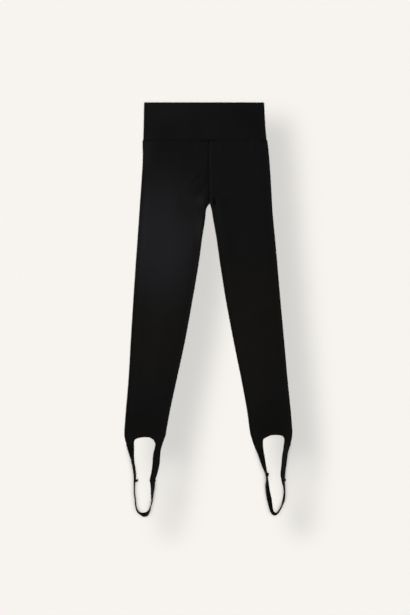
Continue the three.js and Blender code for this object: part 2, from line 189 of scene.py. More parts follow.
def jersey(name, roughness, nap, ovals=()):
    """Black jersey: the knit in relief, its hollows darkened with painted shade, soft patches where the nap
    lies another way, and a faint sheen of fine yarn ends. An oval is a patch of painted light or painted
    shade, or
    of a warmer tone: x, y and half its width and length in mm, and the colour at its middle."""
    material, tree, shader = new_material(name)
    cloth_map = node(tree, "UVMap", uv_map="cloth").outputs[0]
    in_mm = node(tree, "VectorMath", [(0, cloth_map), (3, 1 / MM)], operation="SCALE").outputs[0]
    inputs = [("Cloth", in_mm), ("Wale", WALE), ("Course", COURSE)]
    knitted = node(tree, "Group", inputs, node_tree=knit).outputs
    place = node(tree, "TexCoord").outputs["Object"]
    patches, lumps = noise(tree, place, *PATCHES), noise(tree, place, *LUMPS)
    tone = blend(tree, patches, *([c * share for c in BLACK] for share in (1 - nap, 1 + nap)))
    # Each oval blends in painted light, painted shade or a warmer tone.
    for x, y, half_width, half_length, middle in ovals:
        location = (-x / half_width, -y / half_length, 0)
        scale = (1 / half_width / MM, 1 / half_length / MM, 0)
        inputs = [("Vector", place), ("Location", location), ("Scale", scale)]
        oval = node(tree, "Mapping", inputs).outputs[0]
        away = node(tree, "VectorMath", [(0, oval)], operation="LENGTH").outputs["Value"]
        inputs = [(0, away), (1, 1.0), (2, 0.0)]
        share = node(tree, "MapRange", inputs, interpolation_type="SMOOTHERSTEP").outputs[0]
        tone = blend(tree, share, tone, middle)
    # Painted shade in the knit's hollows
    hollows = calc(tree, "MULTIPLY", knitted["Hollow"], HOLLOW_SHADE_SHARE)
    tone = blend(tree, hollows, tone, [c * HOLLOW_SHADE_TONE for c in BLACK])
    dull = calc(tree, "ADD", calc(tree, "MULTIPLY", patches, DULLER), roughness - DULLER / 2)
    surface = calc(tree, "ADD", knitted["Height"], calc(tree, "MULTIPLY", lumps, LUMP_HEIGHT))
    inputs = [("Strength", RELIEF), ("Distance", RELIEF_DEPTH * MM), ("Height", surface)]
    relief = node(tree, "Bump", inputs).outputs[0]
    feed(shader, [("Base Color", tone), ("Roughness", dull), ("Normal", relief)])
    feed(shader, [("Specular IOR Level", 0.05), ("Sheen Weight", 0.01), ("Sheen Roughness", 0.45)])
    return material


# Each leg is one cut of single jersey, folded round the outer side and sewn along the inside leg. At the foot
# it is cut out in an arch front and back, which leaves a tail on each side. The two meet in the centre seams.
LENGTH = 1075.2  # from the waist edge to the end of the foot straps
BAND_DEPTH = 98.5
CROTCH = 263
STRAP_SEAM = 981
LEG_FOLD = 1.0  # radius of the side folds
TAIL_FOLD = 0.8
GAP = 0.3  # between front and back
SEAM_GAP = 0.06  # between two pieces that are sewn together
PUFF_REACH = 8  # how far in from a fold the cloth stands rounder
PUFF_SHARE = 0.35  # the most that this may be of a narrow piece
FLAT_LIP = 3  # last stretch of an edge that isn't folded
FLAT_COLUMNS = 24
PUFF_COLUMNS = 5
ARC_COLUMNS = 5
BACK_COLUMNS = 16
TAIL_STEPS = 6  # rows from one place of a tail to the next
TUCK_FROM, TUCK_TO = 248, 276  # where the centre seam rounds into the inner folds
SEAM_LIFT = 0.9  # the front stands up to the thicker waistband
LIFT_REACH = 14
SWELL = 1.1  # height of the front's own softness
SOFT_INSET = 26  # the large folds die out this far from a side fold
CREASE_INSET = 6
EASE_OUT = (790, 855)  # the legs' folds die out here, above the foot
ROW_STEP = 3
SEAM_ROWS = (0, 0.5, 1.1, 1.8, 2.7, 4, 6)  # closer rows at the waist seam
SOFT_BEND = 0.2  # a lift that comes down to 0 bends off softly over this height
CENTRE = 0.4  # x of the centre seam
SEAM_DIP = (0.28, 0.85)  # depth of the groove at the waist seam: at its ends, and where the seams cross
SEAM_DIP_WIDE = 4.2
CROSSED_WIDE = 26
CENTRE_DIP = 1.1
CENTRE_STEEP, CENTRE_LEVEL = 1.3, 4.6  # width of the centre seam's groove on the left and on the right leg
BACK_LIFT = (0.35, 0.1)  # of the back at the waist seam and at the centre seam
BACK_LIFT_WIDE = 1.7

# Down, outer fold of the left leg, centre seam, outer fold of the right leg
HIPS = [
    (BAND_DEPTH, -171, 0.4, 153.5), (150, -170.6, 0.4, 158.7), (220, -174.8, 0.4, 163.2),
    (CROTCH, -177.8, 3.9, 165.6),
]
# Down, then the outer and inner fold of the left leg, and the inner and outer fold of the right one
LEGS = [
    (CROTCH, -177.8, 3.7, 4.2, 165.6), (270, -178.2, -2.5, 6.3, 165.9), (279, -178.8, -6, 8.7, 166.4),
    (305, -180.6, -8.8, 12.9, 168.6), (357, -184.2, -17, 22, 173.6), (409, -188, -23.7, 29.2, 178.3),
    (513, -195, -41.3, 45.6, 187.2), (617, -201.5, -60.2, 65.1, 196.7), (721, -207.6, -82.6, 86.1, 206.1),
    (800, -214.2, -99.6, 100.5, 214), (850, -218.1, -108.8, 107.3, 218.2),
    (857, -218.3, -109.8, 108.3, 218.3), (861, -218.3, -110.3, 109.2, 218.2),
]
BEND_FROM = 820  # where the rows start to bend towards the point of the arch
FAN_FROM = 861  # where the folds of both legs have come down to when the arches start
ARCH_TOP = {"left": (-164.7, 870), "right": (172, 864)}

# Rows of the cloth that fans out round an arch: edge, its down, point of the arch, its down
FANS = {
    "left outer": [
        (-218.3, 861, -164.7, 870), (-217.8, 868.5, -174, 870.4), (-216.9, 874, -184, 872.8),
        (-215.6, 880, -190.6, 876), (-213.8, 886, -192.9, 882),
    ],
    "left inner": [
        (-110.3, 861, -164.7, 870), (-112.6, 869, -154.5, 870.2), (-114.8, 875, -147.2, 873.4),
        (-116.9, 881, -141.5, 878.5), (-119.2, 888, -138, 886.5),
    ],
    "right inner": [
        (109.2, 861, 172, 864), (111.6, 869, 161, 865.2), (113.4, 875, 152, 869.6),
        (115.2, 881, 144.7, 873.8), (117.5, 888, 141.8, 881), (120.3, 895, 142, 890),
    ],
    "right outer": [
        (218.2, 861, 172, 864), (217.8, 867, 183, 864.5), (217.1, 872, 192, 866.6),
        (216.1, 877.5, 197, 872.5), (214.6, 883.5, 197.4, 880.5),
    ],
}
# The tails below: middle as seen from above, down, width, and degrees that the tail stands up on its edge
TAILS = {
    "left outer": [
        (-202.6, 894, 19, 16), (-201, 903, 18, 34), (-199.4, 914, 17, 51), (-197.3, 924, 16.3, 65),
        (-195.5, 936, 15.8, 71), (-193, 950, 15.2, 71), (-190.9, 966, 14.7, 74),
        (-190.9, STRAP_SEAM, 14.5, 79),
    ],
    "left inner": [
        (-130.6, 897, 17, 0), (-133.1, 907, 17.4, 0), (-134.6, 919, 18.6, 0), (-135.6, 935, 18.6, 0),
        (-137.7, 950, 17.2, 2), (-141.2, 966, 15.8, 8), (-145.2, STRAP_SEAM, 14.5, 20),
    ],
    "right inner": [
        (133.4, 903, 20, 18), (136.7, 914, 18.8, 31), (139.2, 924, 17.8, 38), (141.9, 935, 17, 46),
        (144.7, 945, 16.2, 55), (147.8, 955, 15.5, 66), (150.6, 966, 14.8, 75),
        (152.6, STRAP_SEAM, 14.5, 75),
    ],
    "right outer": [
        (204.1, 892, 17, 24), (201.6, 903, 15.9, 36), (199.3, 914, 15.3, 36), (197.5, 930, 15, 37),
        (195.2, 950, 14.7, 41), (193.6, 966, 14.5, 43), (194.4, STRAP_SEAM, 14.5, 58),
    ],
}
TOWARD = {"left outer": -1, "left inner": 1, "right inner": -1, "right outer": 1}

# Large soft folds of the front: x and down of both ends, height of the ridge or depth of the trough, spread
FOLDS = [
    (-24, 262, -34, 372, 1, 15), (-84, 282, -50, 350, -1, 16), (-12, 176, -46, 226, 1.3, 16),
    (-146, 232, -150, 420, 1.2, 26), (28, 262, 44, 380, 1.3, 15), (22, 182, 52, 236, 0.9, 16),
    (92, 300, 74, 372, -0.8, 18), (-118, 560, -140, 760, 1, 24), (128, 540, 150, 770, 1, 24),
]
# Creases: the puckers under the waist seam, the drag lines from the crotch, and a few slack places lower down
CREASES = [
    (-152, 100, -148, 119, -0.4, 4.5), (-131, 100, -133, 111, 0.3, 4), (-97, 100, -92, 124, -0.35, 5),
    (-78, 100, -79, 113, 0.3, 4), (-41, 100, -35, 122, -0.4, 5), (-22, 100, -25, 116, 0.35, 4.5),
    (19, 100, 24, 118, -0.35, 4.5), (37, 100, 34, 126, 0.35, 5), (81, 100, 85, 117, -0.35, 4.5),
    (118, 100, 115, 123, 0.35, 5), (138, 100, 141, 114, -0.3, 4), (-19.1, 190.8, -39.9, 211.6, -1.1, 5),
    (-9, 203, -33, 231, 0.45, 5), (-7, 226, -30, 250, -0.5, 4.5), (13, 205, 37, 229, -0.45, 5),
    (10, 228, 29, 249, 0.45, 4.5), (9, 240, 13, 262, 1, 3.6), (14, 246, 18, 260, -1.4, 3.4),
    (18, 260, 25, 284, -0.8, 4.5), (5.5, 232, 7, 241, -0.9, 3), (10, 110, 10, 226, 0.25, 4),
    (-4, 232, -8, 262, 1, 8), (-9, 264, -16, 320, 1.3, 7), (-16, 320, -25, 378, 0.9, 7),
    (17, 280, 32, 400, 0.6, 8), (-52, 236, -84, 262, -0.35, 8), (-79, 283, -58, 316, -1.1, 6),
    (58, 246, 88, 268, 0.35, 8), (-104, 150, -138, 178, 0.3, 9), (76, 148, 118, 171, -0.3, 9),
    (-34, 420, -72, 441, -0.4, 7), (-41, 446, -66, 458, 0.3, 6), (46, 436, 79, 452, -0.35, 7),
    (-186, 505, -150, 519, -0.4, 7), (-58, 526, -97, 541, 0.4, 7), (-60, 547, -88, 556, -0.35, 6),
    (183, 520, 149, 537, 0.4, 7), (61, 541, 96, 552, -0.4, 7), (66, 566, 90, 573, 0.3, 6),
    (-196, 640, -166, 655, 0.35, 8), (-80, 655, -112, 668, -0.35, 7), (196, 648, 168, 660, -0.35, 7),
    (80, 672, 108, 684, 0.35, 7), (-206, 742, -176, 753, -0.35, 6), (-96, 748, -128, 762, 0.35, 6),
    (-100, 772, -122, 779, -0.3, 5), (204, 738, 177, 752, 0.35, 6), (99, 757, 126, 769, -0.35, 6),
    (-212, 806, -188, 815, 0.35, 5), (-107, 812, -133, 822, -0.3, 5), (211, 801, 186, 812, -0.35, 5),
    (108, 816, 130, 825, 0.3, 5),
]
# The same on the hidden back, where the cloth can only lift off the floor
BACK_CREASES = [
    (-140, 100, -136, 121, 0.25, 6), (-66, 100, -70, 116, 0.3, 5), (30, 100, 33, 119, 0.25, 6),
    (104, 100, 101, 118, 0.3, 5), (-12, 214, -44, 246, 0.35, 7), (12, 222, 40, 250, 0.35, 7),
    (-60, 470, -104, 486, 0.35, 8), (64, 486, 110, 497, 0.3, 8), (-190, 530, -150, 546, 0.35, 8),
    (182, 548, 146, 560, 0.35, 8), (-86, 690, -120, 702, 0.3, 7), (90, 706, 118, 716, 0.3, 7),
    (-208, 770, -180, 781, 0.3, 6), (207, 764, 178, 777, 0.3, 6),
]


def to_y(down):
    """Y of a distance down the garment."""
    return LENGTH / 2 - down


def eased(value, start=0, end=1):
    """0 up to the start and 1 from the end, with 3t² - 2t³ between."""
    t = np.clip((value - start) / (end - start), 0, 1)
    return t * t * (3 - 2 * t)


def bell(away, spread):
    """exp(-(away / spread)²), which is 1 at no distance and soon falls off to 0."""
    return np.exp(-((away / spread) ** 2))


def kept_up(lift):
    """A lift that never goes below 0: (lift + √(lift² + bend²)) / 2."""
    return (lift + np.hypot(lift, SOFT_BEND)) / 2


def unit(vectors):
    """Vectors brought to length 1."""
    return vectors / np.linalg.norm(vectors, axis=-1, keepdims=True)


def run_along(points, axis):
    """Distance covered along an axis of a grid of points, from 0 at its start."""
    steps = np.linalg.norm(np.diff(points, axis=axis), axis=-1)
    return np.insert(np.cumsum(steps, axis), 0, 0, axis)


def along(table, at):
    """Every column of a table as a smooth curve of its first column. Between two rows it is a cubic that
    leaves each row with the slope from the row before it to the row after it."""
    table = np.asarray(table, float)
    key, values = table[:, 0], table[:, 1:]
    last = len(key) - 1
    ids = np.arange(last + 1)
    before, after = np.maximum(ids - 1, 0), np.minimum(ids + 1, last)
    slope = (values[after] - values[before]) / (key[after] - key[before])[:, None]
    i = np.clip(np.searchsorted(key, at) - 1, 0, last - 1)
    span = (key[i + 1] - key[i])[:, None]
    t = (np.asarray(at, float) - key[i])[:, None] / span
    bend = span * t * (1 - t) * ((1 - t) * slope[i] - t * slope[i + 1])
    return values[i] + (values[i + 1] - values[i]) * t * t * (3 - 2 * t) + bend


def ridges(table, x, down):
    """The sum of soft ridges and troughs. Each falls off as a bell from the line between its ends."""
    total = np.zeros_like(x)
    for x0, down0, x1, down1, rise, spread in table:
        dx, dy = x1 - x0, down1 - down0
        share = np.clip(((x - x0) * dx + (down - down0) * dy) / (dx * dx + dy * dy), 0, 1)
        away = np.hypot(x - x0 - share * dx, down - down0 - share * dy)
        total += rise * bell(away, spread)
    return total


def half_section(width, tuck, closed, wall=JERSEY, fold=LEG_FOLD):
    """Half of a flattened tube's section, from the middle out to its fold, as (across, high, turn) of the
    front and of the back. The front lies two walls up, swells to the fold's height and goes round a quarter
    circle; the back lies flat and goes round the lower quarter. Tuck 0 leaves the edge flat for a seam, and 1
    rounds it fully. Unless closed, the two end a seam's gap short of each other."""
    width, tuck, fold = (np.asarray(x, float).reshape(-1, 1) for x in (width, tuck, fold))
    low = wall / 2
    base = low + wall + GAP
    top = base + (low + 2 * fold - base) * tuck
    radius = fold if closed else fold - SEAM_GAP / 2
    bend = tuck * np.pi / 2
    lip = FLAT_LIP * (1 - tuck)
    start = width - tuck * wall / 2 - lip - radius * np.sin(bend)
    reach = np.minimum(PUFF_REACH, width * PUFF_SHARE)
    flat = np.linspace(0, 1, FLAT_COLUMNS)
    puff = np.linspace(0, 1, PUFF_COLUMNS + 1)[1:]
    arc = np.linspace(0, 1, ARC_COLUMNS + 1)[1:]
    turn = bend * arc
    around = start + lip * arc + radius * np.sin(turn)
    level, swell = flat * (start - reach), start - reach + puff * reach
    rest = np.linspace(0, 1, BACK_COLUMNS) * start
    rising, rounding = base + (top - base) * eased(puff), top - radius + radius * np.cos(turn)
    lower = low + radius - radius * np.cos(turn)
    front = (level, swell, around), (base + 0 * level, rising, rounding), (0 * level, 0 * swell, turn)
    back = (rest, around), (low + 0 * rest, lower), (np.pi + 0 * rest, np.pi - turn)
    return [[np.hstack(parts) for parts in half] for half in (front, back)]


def laid(section, start, way, lean=0.0):
    """Section points in space, and the outward direction of the cloth at each. A row runs from its start,
    seen from above, along its way, and is turned up about the start by its lean."""
    across, high, turn = section
    lean = np.asarray(lean, float).reshape(-1, 1)

    def leant(out, up):
        swing = out * np.cos(lean) - up * np.sin(lean)
        level = way[:, None] * swing[..., None]
        return np.concatenate([level, (out * np.sin(lean) + up * np.cos(lean))[..., None]], -1)

    points = leant(across, high)
    points[..., :2] += start[:, None]
    return points, leant(np.sin(turn), np.cos(turn))


def flat_way(start, end):
    """Unit direction from start to end and the distance, row by row."""
    step = end - start
    width = np.hypot(step[:, 0], step[:, 1])
    return step / width[:, None], width


def leg_lines(down, side):
    """Outer fold, inner edge and middle of a leg, seen from above, and how far its inner edge is rounded."""
    hip, outer_column, inner_column, away = {"left": (0, 0, 1, -1), "right": (2, 3, 2, 1)}[side]
    hips, legs = along(HIPS, np.minimum(down, CROTCH)), along(LEGS, np.maximum(down, CROTCH))
    high = down < CROTCH
    outer = np.where(high, hips[:, hip], legs[:, outer_column])
    inner = np.where(high, hips[:, 1] + away * SEAM_GAP / 2, legs[:, inner_column])
    arch_x, arch_down = ARCH_TOP[side]
    share = eased(down, BEND_FROM, FAN_FROM)
    middle = (outer + inner) / 2 + share * (arch_x - (outer[-1] + inner[-1]) / 2)
    middle_down = down + share * (arch_down - FAN_FROM)
    tuck = eased(down, TUCK_FROM, TUCK_TO)
    return (
        np.stack([outer, to_y(down)], -1),
        np.stack([inner, to_y(down)], -1),
        np.stack([middle, to_y(middle_down)], -1),
        tuck,
    )


def seam_dip(x):
    """Depth of the groove along the waist seam, which the centre seam draws deeper."""
    return SEAM_DIP[0] + (SEAM_DIP[1] - SEAM_DIP[0]) * bell(x - CENTRE, CROSSED_WIDE)


def soft_front(points, from_edge, tuck, down):
    """Lift of the front: its swell and large folds, which fade towards a rounded edge, the fine creases, the
    rise to the waistband, and the dip into the waist seam and the centre seam. What is turned in behind the
    centre seam is pressed to the right leg, so the dip is steep on the left one and level on the right."""
    x, along_leg = points[..., 0], to_y(points[..., 1])
    tuck, down = tuck[:, None], down[:, None]
    large = SWELL + ridges(FOLDS, x, along_leg)
    fine = ridges(CREASES, x, along_leg) * (1 + (eased(from_edge, 0, CREASE_INSET) - 1) * tuck)
    inset = 1 + (eased(from_edge, 0, SOFT_INSET) - 1) * tuck
    lift = SEAM_LIFT * np.exp(-(down - BAND_DEPTH) / LIFT_REACH)
    fade = 1 - eased(down, *EASE_OUT)
    raised = kept_up(((large + lift) * inset + fine) * fade) * fade
    seam = seam_dip(x) * bell(down - BAND_DEPTH, SEAM_DIP_WIDE)
    steep, level = bell(from_edge, CENTRE_STEEP), np.exp(-((from_edge / CENTRE_LEVEL) ** 4))
    centre = CENTRE_DIP * np.where(x < CENTRE, steep, level) * (1 - tuck)
    return raised - np.maximum(seam, centre)


def soft_back(points, from_edge, tuck, down):
    """Lift of the back off the floor, at its creases and where it turns up into a seam."""
    x, along_leg = points[..., 0], to_y(points[..., 1])
    tuck, down = tuck[:, None], down[:, None]
    fade = (1 - eased(down, *EASE_OUT)) * eased(from_edge, 0, SOFT_INSET)
    seam = BACK_LIFT[0] * bell(down - BAND_DEPTH, BACK_LIFT_WIDE)
    centre = BACK_LIFT[1] * bell(from_edge, BACK_LIFT_WIDE) * (1 - tuck)
    return ridges(BACK_CREASES, x, along_leg) * fade + np.maximum(seam, centre)


def leg_grid(side):
    """The leg from the waist seam to the top of its arch, as one grid: across the front from the inner edge,
    round the outer fold, and back to the inner edge."""
    seam_rows = BAND_DEPTH + SEAM_GAP / 2 + np.array(SEAM_ROWS)
    count = int((FAN_FROM - seam_rows[-1]) / ROW_STEP)
    down = np.append(seam_rows[:-1], np.linspace(seam_rows[-1], FAN_FROM, count))
    outer, inner, middle, tuck = leg_lines(down, side)
    quarters = []
    for end, tucked, closed in ((inner, tuck, False), (outer, np.ones_like(down), True)):
        way, width = flat_way(middle, end)
        for section, soft in zip(half_section(width, tucked, closed), (soft_front, soft_back)):
            points, _ = laid(section, middle, way)
            points[..., 2] += soft(points, width[:, None] - section[0], tucked, down)
            quarters.append(points)
    inner_front, inner_back, outer_front, outer_back = quarters
    return np.concatenate(
        [inner_front[:, ::-1], outer_front[:, 1:], outer_back[:, -2::-1], inner_back[:, 1:]], axis=1
    )


def to_middle(width, lean):
    """How far from its start a leant folded strip has its middle, as seen from above: it reaches from
    -thickness * sin(lean) to width * cos(lean)."""
    return (width * np.cos(lean) - (2 * JERSEY + GAP) * np.sin(lean)) / 2


def tail_places(name):
    """Rows of a fan and its tail in one form: start x and y, turn of the way across, width, lean, fold."""
    toward, fan, tail = TOWARD[name], np.array(FANS[name], float), np.array(TAILS[name], float)
    step_x, step_y = toward * (fan[:, 0] - fan[:, 2]), fan[:, 3] - fan[:, 1]
    turn, width = np.arctan2(step_y, step_x), np.hypot(step_x, step_y)
    fold = np.linspace(LEG_FOLD, TAIL_FOLD, len(fan))
    fan_rows = np.stack([fan[:, 2], to_y(fan[:, 3]), turn, width, 0 * fold, fold], -1)
    width, lean = tail[:, 2], np.radians(tail[:, 3])
    x = tail[:, 0] - toward * to_middle(width, lean)
    tail_rows = np.stack([x, to_y(tail[:, 1]), 0 * lean, width, lean, 0 * lean + TAIL_FOLD], -1)
    tail_rows[-1, 1] += SEAM_GAP / 2
    return np.concatenate([fan_rows, tail_rows])


def tail_sections(name):
    """A tail's front and back grids, with points between its places on smooth curves."""
    places = tail_places(name)
    last = len(places) - 1
    keyed = np.column_stack([np.arange(last + 1), places])
    x, y, turn, width, lean, fold = along(keyed, np.linspace(0, last, last * TAIL_STEPS + 1)).T
    way = np.stack([TOWARD[name] * np.cos(turn), np.sin(turn)], -1)
    halves = half_section(width, np.ones_like(width), name.endswith("outer"), fold=fold)
    return [laid(half, np.stack([x, y], -1), way, lean) for half in halves]


MERGED_WITHIN = 0.02  # points that are nearer to each other are one
SHARP_FROM = 50  # degrees


def quads(ids):
    """Faces of a grid of points, each between four neighbours."""
    return np.stack([ids[:-1, :-1], ids[:-1, 1:], ids[1:, 1:], ids[1:, :-1]], -1).reshape(-1, 4)


def face_outwards(mesh, merged=None, ends=False):
    """Turns all faces of a mesh outwards, after merging near points and closing open ends where asked."""
    shell = bmesh.new()
    shell.from_mesh(mesh)
    if merged:
        bmesh.ops.remove_doubles(shell, verts=shell.verts, dist=merged * MM)
    if ends:
        bmesh.ops.holes_fill(shell, edges=[e for e in shell.edges if e.is_boundary], sides=0)
    bmesh.ops.recalc_face_normals(shell, faces=shell.faces)
    shell.to_mesh(mesh)
    shell.free()


def cloth_piece(name, grids, material, wall=None, ends=False):
    """A mesh of grids of points, joined where their edges meet. Its UV map, in metres, measures across the
    cloth and down it. With a wall the surface is the middle of the cloth and is thickened to both sides.
    Nothing is left below the floor."""
    points, faces, unrolled, first = [], [], [], 0
    for grid in grids:
        ids = first + np.arange(grid[..., 0].size).reshape(grid.shape[:2])
        faces.append(quads(ids))
        unrolled.append(np.stack([run_along(grid, 1), run_along(grid, 0)], -1).reshape(-1, 2))
        points.append(grid.reshape(-1, 3))
        first += ids.size
    mesh = bpy.data.meshes.new(name)
    mesh.from_pydata((np.concatenate(points) * MM).tolist(), [], np.concatenate(faces).tolist())
    corners = np.empty(len(mesh.loops), int)
    mesh.loops.foreach_get("vertex_index", corners)
    uv = mesh.uv_layers.new(name="cloth")
    uv.data.foreach_set("uv", (np.concatenate(unrolled)[corners] * MM).ravel())
    face_outwards(mesh, MERGED_WITHIN, ends)
    piece = add_object(name, mesh)
    if wall:
        solidify = piece.modifiers.new("wall", "SOLIDIFY")
        solidify.thickness = wall * MM
        solidify.offset = 0
        finished = piece.evaluated_get(bpy.context.evaluated_depsgraph_get())
        mesh = piece.data = bpy.data.meshes.new_from_object(finished)
        piece.modifiers.clear()
    mesh.materials.clear()
    mesh.materials.append(material)
    mesh.shade_smooth()
    mesh.set_sharp_from_angle(angle=np.radians(SHARP_FROM))
    places = np.empty(len(mesh.vertices) * 3)
    mesh.vertices.foreach_get("co", places)
    places[2::3] = np.maximum(places[2::3], 0)
    mesh.vertices.foreach_set("co", places)
    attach(piece, "root")
    return piece


# Painted light and shade on the jersey, and a warmer tone on the lower legs: x, y, half the width and length
# of an oval, and its tone
WAIST_SEAM = to_y(BAND_DEPTH)
# Painted shade where the centre seam crosses the waist seam
SEAM_CROSSING_SHADE = (0.0015, 0.0015, 0.0016)
# Painted shade, darker towards the ankles
ANKLE_SHADE = (0.0022, 0.002, 0.0017)
# Painted light down the left side of the hips and the waistband, the side towards the lamp
SIDE_PAINTED_LIGHT = (-182, 408, 56, 100, (0.0068, 0.0068, 0.0068))
# Painted shade along the waist seam, deepest at the crossing
WAIST_SEAM_SHADE = [
    (-10, WAIST_SEAM - 1, 190, 8, (0.0025, 0.0025, 0.0026)),
    (-6, WAIST_SEAM - 1, 34, 9, SEAM_CROSSING_SHADE),
]
LEG_PAINTED_LIGHT_AND_TONE = [
    # A warmer, slightly lighter tone on the lower legs
    (-135, -50, 160, 230, (0.0042, 0.0037, 0.003)),
    (105, -60, 160, 330, (0.004, 0.0035, 0.0026)),
    # Painted light on the left thigh and hip
    (-122, 182, 158, 272, (0.01, 0.01, 0.0117)),
    SIDE_PAINTED_LIGHT,
    # Painted shade along a drag line from the crotch
    (-62, 272, 36, 68, (0.0056, 0.0056, 0.0057)),
    # Painted light along the inner left thigh
    (-24, 280, 21, 34, (0.0066, 0.0066, 0.0064)),
    (-27, 214, 17, 66, (0.0085, 0.0085, 0.0078)),
    # A painted shadow in the pucker beside the crotch point
    (15, 279, 8.5, 18, (0.0004, 0.0004, 0.0004)),
    (-166, -315, 95, 150, ANKLE_SHADE),
    (168, -315, 95, 150, ANKLE_SHADE),
    *WAIST_SEAM_SHADE,
]
leg_jersey = jersey("leg_jersey", roughness=0.8, nap=0.14, ovals=LEG_PAINTED_LIGHT_AND_TONE)
tails = {name: tail_sections(name) for name in TAILS}
leg_shapes = {side: leg_grid(side) for side in ARCH_TOP}
for side in ARCH_TOP:
    (outer_front, _), (outer_back, _) = tails[side + " outer"]
    (inner_front, _), (inner_back, _) = tails[side + " inner"]
    grids = [
        leg_shapes[side],
        np.concatenate([outer_front, outer_back[:, -2::-1]], axis=1),
        inner_front[:, ::-1],
        inner_back,
    ]
    cloth_piece("leg_cloth_" + side, grids, leg_jersey, wall=JERSEY)
    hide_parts("leg_" + side)


# Each foot strap is a strip of the same jersey folded lengthwise, with its fold on the outside of the loop.
# It is sewn to the two tails, and lies partly on its edge as the loop closes under the foot.
STRAP_WIDE = 14.5
STRAP_STEP = 2.0
SQUARE_FOR = 8  # a strap leaves its seam straight for about this far
# The way from seam to seam: x, down, degrees up on the edge
STRAPS = {
    "left": [
        (-190.9, STRAP_SEAM, 79), (-191.5, 989, 86), (-191.9, 1000, 90), (-191.8, 1014, 90),
        (-190.2, 1028, 90), (-188.9, 1043, 90), (-186.6, 1054, 88), (-182.9, 1062.6, 87),
        (-177.4, 1066.6, 84), (-171.2, 1069.8, 71), (-164.7, 1070.6, 53), (-158, 1067.2, 62),
        (-152.6, 1058.8, 80), (-149.8, 1048.8, 89), (-147.6, 1041.8, 87), (-146.2, 1033.2, 79),
        (-146, 1022.8, 71), (-145, 1009.8, 58), (-144.2, 995, 42), (-145.2, STRAP_SEAM, 20),
    ],
    "right": [
        (152.6, STRAP_SEAM, 75), (152.3, 991, 57), (153.4, 1004, 49), (155.3, 1017.5, 43),
        (157.7, 1029.3, 37), (159.9, 1040, 46), (161.8, 1050, 52), (164, 1059, 58), (168, 1066.3, 65),
        (173.8, 1069, 78), (179.3, 1065.9, 88), (184.3, 1059.2, 90), (189.3, 1050.1, 90), (193, 1040.3, 84),
        (195.6, 1031.4, 77), (197, 1022, 80), (197.6, 1009.8, 83), (196.7, 998, 78), (195.1, 988.5, 69),
        (194.4, STRAP_SEAM, 58),
    ],
}


def strap_sections(side):
    """A strap's front and back grids. Its folded section is carried along a smooth curve through the
    stations, square to the curve, and level across at both seams."""
    stations = np.array(STRAPS[side], float)
    key = run_along(stations[:, :2], 0)
    at = np.linspace(0, key[-1], int(key[-1] / STRAP_STEP))
    x, down, lean = along(np.column_stack([key, stations]), at).T
    lean = np.radians(lean)
    middle = np.stack([x, to_y(down)], -1)
    forward = np.gradient(middle, at, axis=0)
    square = unit(np.stack([forward[:, 1], -forward[:, 0]], -1))
    ends = np.stack([np.where(at < key[-1] / 2, -1.0, 1.0), 0 * at], -1)
    held = 1 - eased(np.minimum(at, key[-1] - at), 0, SQUARE_FOR)[:, None]
    way = unit(square * (1 - held) + ends * held)
    start = middle - way * to_middle(STRAP_WIDE, lean)[:, None]
    start[[0, -1], 1] -= SEAM_GAP / 2
    halves = half_section(0 * at + STRAP_WIDE, np.ones_like(at), True, fold=TAIL_FOLD)
    return [laid(half, start, way, lean) for half in halves]


strap_jersey = jersey("strap_jersey", roughness=0.8, nap=0.08)
strap_parts = {side: strap_sections(side) for side in STRAPS}
for side, ((front, _), (back, _)) in strap_parts.items():
    grid = np.concatenate([front, back[:, -2::-1]], axis=1)
    cloth_piece("foot_strap_" + side, [grid], strap_jersey, wall=JERSEY)
    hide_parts("stirrup_" + side)


# The waistband is two panels of doubled jersey, each folded along the waist edge and sewn to the other at the
# sides. Its lower edge rolls into the waist seam, where the stretched seam draws it into shallow waves.
DOUBLED = 2.0
BAND_FOLD = 1.4
BAND_EDGES = [(0, -166.8, 144.6), (60, -167.9, 147.8), (BAND_DEPTH, -169, 151.2)]
BAND_ROWS = 34
BAND_SWELL = 0.5
ROUND_STEPS = 8
BAND_WAVES = [
    (-130, 60, -126, 99, 0.5, 13), (-84, 72, -90, 99, -0.45, 10), (-48, 48, -44, 99, 0.45, 12),
    (-8, 66, -10, 99, -0.5, 10), (30, 55, 27, 99, 0.45, 12), (66, 74, 70, 99, -0.4, 10),
    (104, 50, 108, 99, 0.45, 13), (-110, 6, -60, 26, 0.35, 14), (24, 18, 88, 9, 0.35, 14),
]


def band_grid(side):
    """A band panel as one closed skin: its oval profile, with a half circle at the waist edge and at the
    seam, is carried from one side seam to the other."""
    half = DOUBLED / 2
    bottom = BAND_DEPTH - SEAM_GAP / 2
    up = np.linspace(bottom - half, half, BAND_ROWS)
    swing = np.linspace(0, np.pi, ROUND_STEPS + 1)[1:-1]
    down = np.concatenate([up, half - half * np.sin(swing), up[::-1], bottom - half + half * np.sin(swing)])
    out = np.concatenate([0 * up + half, half * np.cos(swing), 0 * up - half, -half * np.cos(swing)])
    left, right = along(BAND_EDGES, down).T
    middle = np.stack([(left + right) / 2, to_y(down)], -1)
    ends = []
    for x in (left, right):
        way, width = flat_way(middle, np.stack([x, to_y(down)], -1))
        front, back = half_section(width, np.ones_like(down), False, wall=DOUBLED, fold=BAND_FOLD)
        section = front if side == "front" else back
        points, outward = laid(section, middle, way)
        if side == "front":
            x = points[..., 0]
            raised = BAND_SWELL + ridges(BAND_WAVES, x, down[:, None])
            raised *= eased(width[:, None] - section[0], 0, SOFT_INSET)
            raised -= (BAND_SWELL + seam_dip(x)) * bell(down[:, None] - BAND_DEPTH, SEAM_DIP_WIDE)
            points[..., 2] += kept_up(raised)
        ends.append(points + outward * out[:, None, None])
    grid = np.concatenate([ends[0][:, ::-1], ends[1][:, 1:]], axis=1)
    return np.concatenate([grid, grid[:1]])


